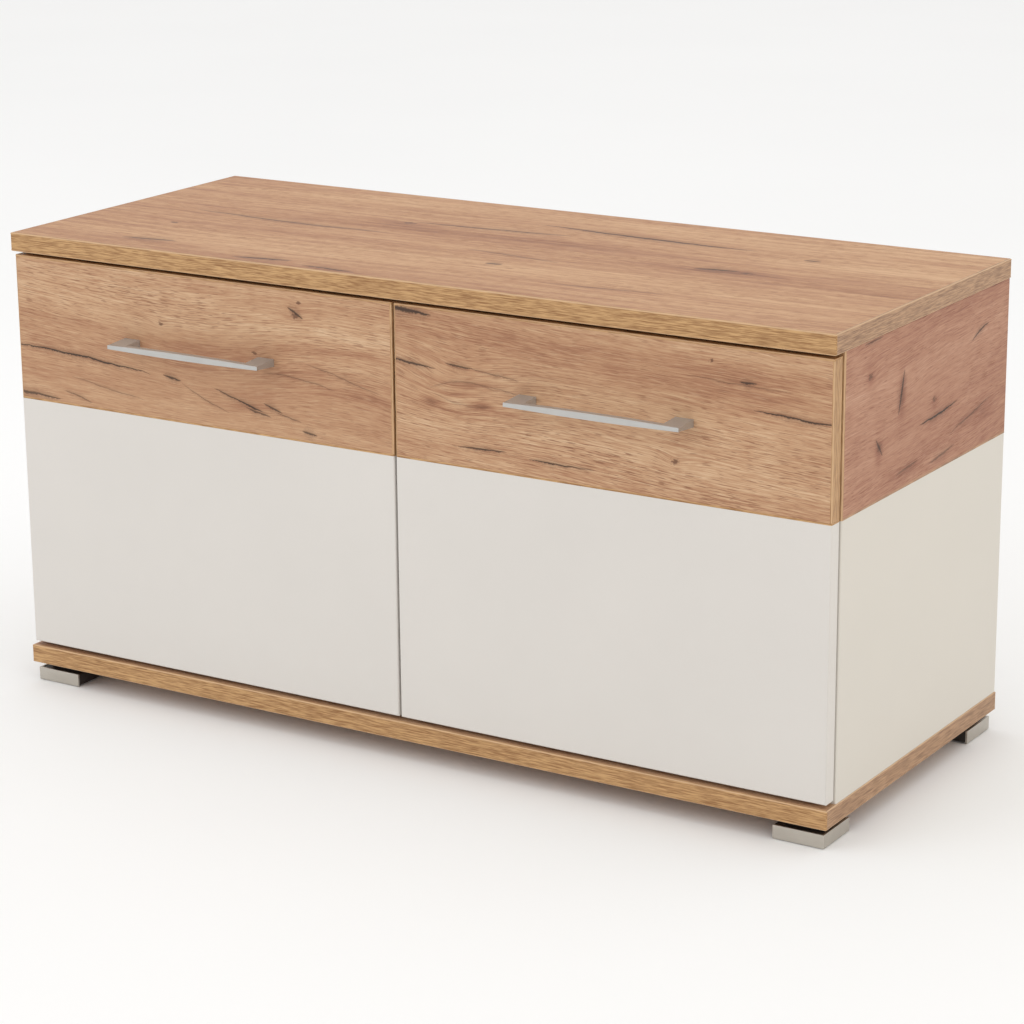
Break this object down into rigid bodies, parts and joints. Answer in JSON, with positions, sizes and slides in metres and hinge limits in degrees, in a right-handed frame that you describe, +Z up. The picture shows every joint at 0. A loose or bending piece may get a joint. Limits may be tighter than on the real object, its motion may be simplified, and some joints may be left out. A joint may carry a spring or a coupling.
{
  "type": "entryway bench",
  "caption": "Low storage bench: flat seat board over oak-and-white panels, deep side-by-side drawers on telescopic runners with slim bar pulls, and low corner feet.",
  "frame": {"origin": "on the floor, under the middle of the bench's overall box, pulls included", "axes": "+X along the bench to its right end, +Y from the drawer fronts to the back, +Z up"},
  "size_m": [0.96, 0.416, 0.495],
  "materials": {
    "oak_decor": "matt oak decor with long streaks, small knots and fine cracks",
    "oak_edge_band": "matt oak edge band with fine straight grain",
    "white_board": "satin off-white faced board",
    "white_hardboard": "thin hardboard with an off-white face",
    "beech": "plain beech",
    "brushed_nickel": "brushed nickel",
    "satin_nickel": "satin nickel",
    "black_plastic": "moulded black plastic",
    "grey_felt": "pressed felt",
    "zinc_plated_steel": "zinc-plated",
    "rubber": "soft grey rubber"
  },
  "bodies": {
    "carcass": {"top_board": "oak_decor", "top_edge_bands": "oak_edge_band", "base_board": "oak_decor", "base_edge_bands": "oak_edge_band", "left_side_upper": "oak_decor", "left_side_lower": "white_board", "right_side_upper": "oak_decor", "right_side_lower": "white_board", "side_edge_bands": "oak_edge_band", "centre_partition": "white_board", "back_panel": "white_hardboard", "wooden_dowels": "beech", "cam_bolts": "zinc_plated_steel", "cam_locks": "zinc_plated_steel", "front_bumpers": "rubber", "front_left_foot_angle": "brushed_nickel", "front_right_foot_angle": "brushed_nickel", "rear_left_foot_angle": "brushed_nickel", "rear_right_foot_angle": "brushed_nickel", "front_left_foot_block": "black_plastic", "front_right_foot_block": "black_plastic", "rear_left_foot_block": "black_plastic", "rear_right_foot_block": "black_plastic", "foot_screws": "zinc_plated_steel", "foot_glide_pads": "grey_felt", "left_outer_cabinet_rail": "zinc_plated_steel", "left_inner_cabinet_rail": "zinc_plated_steel", "right_inner_cabinet_rail": "zinc_plated_steel", "right_outer_cabinet_rail": "zinc_plated_steel", "rail_screws": "zinc_plated_steel"},
    "left_drawer": {"left_front_upper": "oak_decor", "left_front_lower": "white_board", "left_front_bands": "oak_edge_band", "left_pull": "satin_nickel", "left_pull_screws": "zinc_plated_steel", "left_front_screws": "zinc_plated_steel", "left_box_outer_side": "white_board", "left_box_inner_side": "white_board", "left_box_front": "white_board", "left_box_back": "white_board", "left_box_bottom": "white_hardboard", "left_outer_drawer_rail": "zinc_plated_steel", "left_inner_drawer_rail": "zinc_plated_steel"},
    "right_drawer": {"right_front_upper": "oak_decor", "right_front_lower": "white_board", "right_front_bands": "oak_edge_band", "right_pull": "satin_nickel", "right_pull_screws": "zinc_plated_steel", "right_front_screws": "zinc_plated_steel", "right_box_outer_side": "white_board", "right_box_inner_side": "white_board", "right_box_front": "white_board", "right_box_back": "white_board", "right_box_bottom": "white_hardboard", "right_outer_drawer_rail": "zinc_plated_steel", "right_inner_drawer_rail": "zinc_plated_steel"},
    "left_middle_rails": {"left_outer_middle_rail": "zinc_plated_steel", "left_inner_middle_rail": "zinc_plated_steel"},
    "right_middle_rails": {"right_outer_middle_rail": "zinc_plated_steel", "right_inner_middle_rail": "zinc_plated_steel"}
  },
  "joints": [
    {"name": "left_drawer_slide", "type": "slide", "parent": "carcass", "child": "left_drawer", "axis": [0, -1, 0], "range_m": [0, 0.35]},
    {"name": "right_drawer_slide", "type": "slide", "parent": "carcass", "child": "right_drawer", "axis": [0, -1, 0], "range_m": [0, 0.35]},
    {"name": "left_rails_slide", "type": "slide", "parent": "carcass", "child": "left_middle_rails", "axis": [0, -1, 0], "range_m": [0, 0.175]},
    {"name": "right_rails_slide", "type": "slide", "parent": "carcass", "child": "right_middle_rails", "axis": [0, -1, 0], "range_m": [0, 0.175]}
  ],
  "couplings": [
    {"joint": "left_rails_slide", "follows": "left_drawer_slide", "ratio": 0.5},
    {"joint": "right_rails_slide", "follows": "right_drawer_slide", "ratio": 0.5}
  ]
}
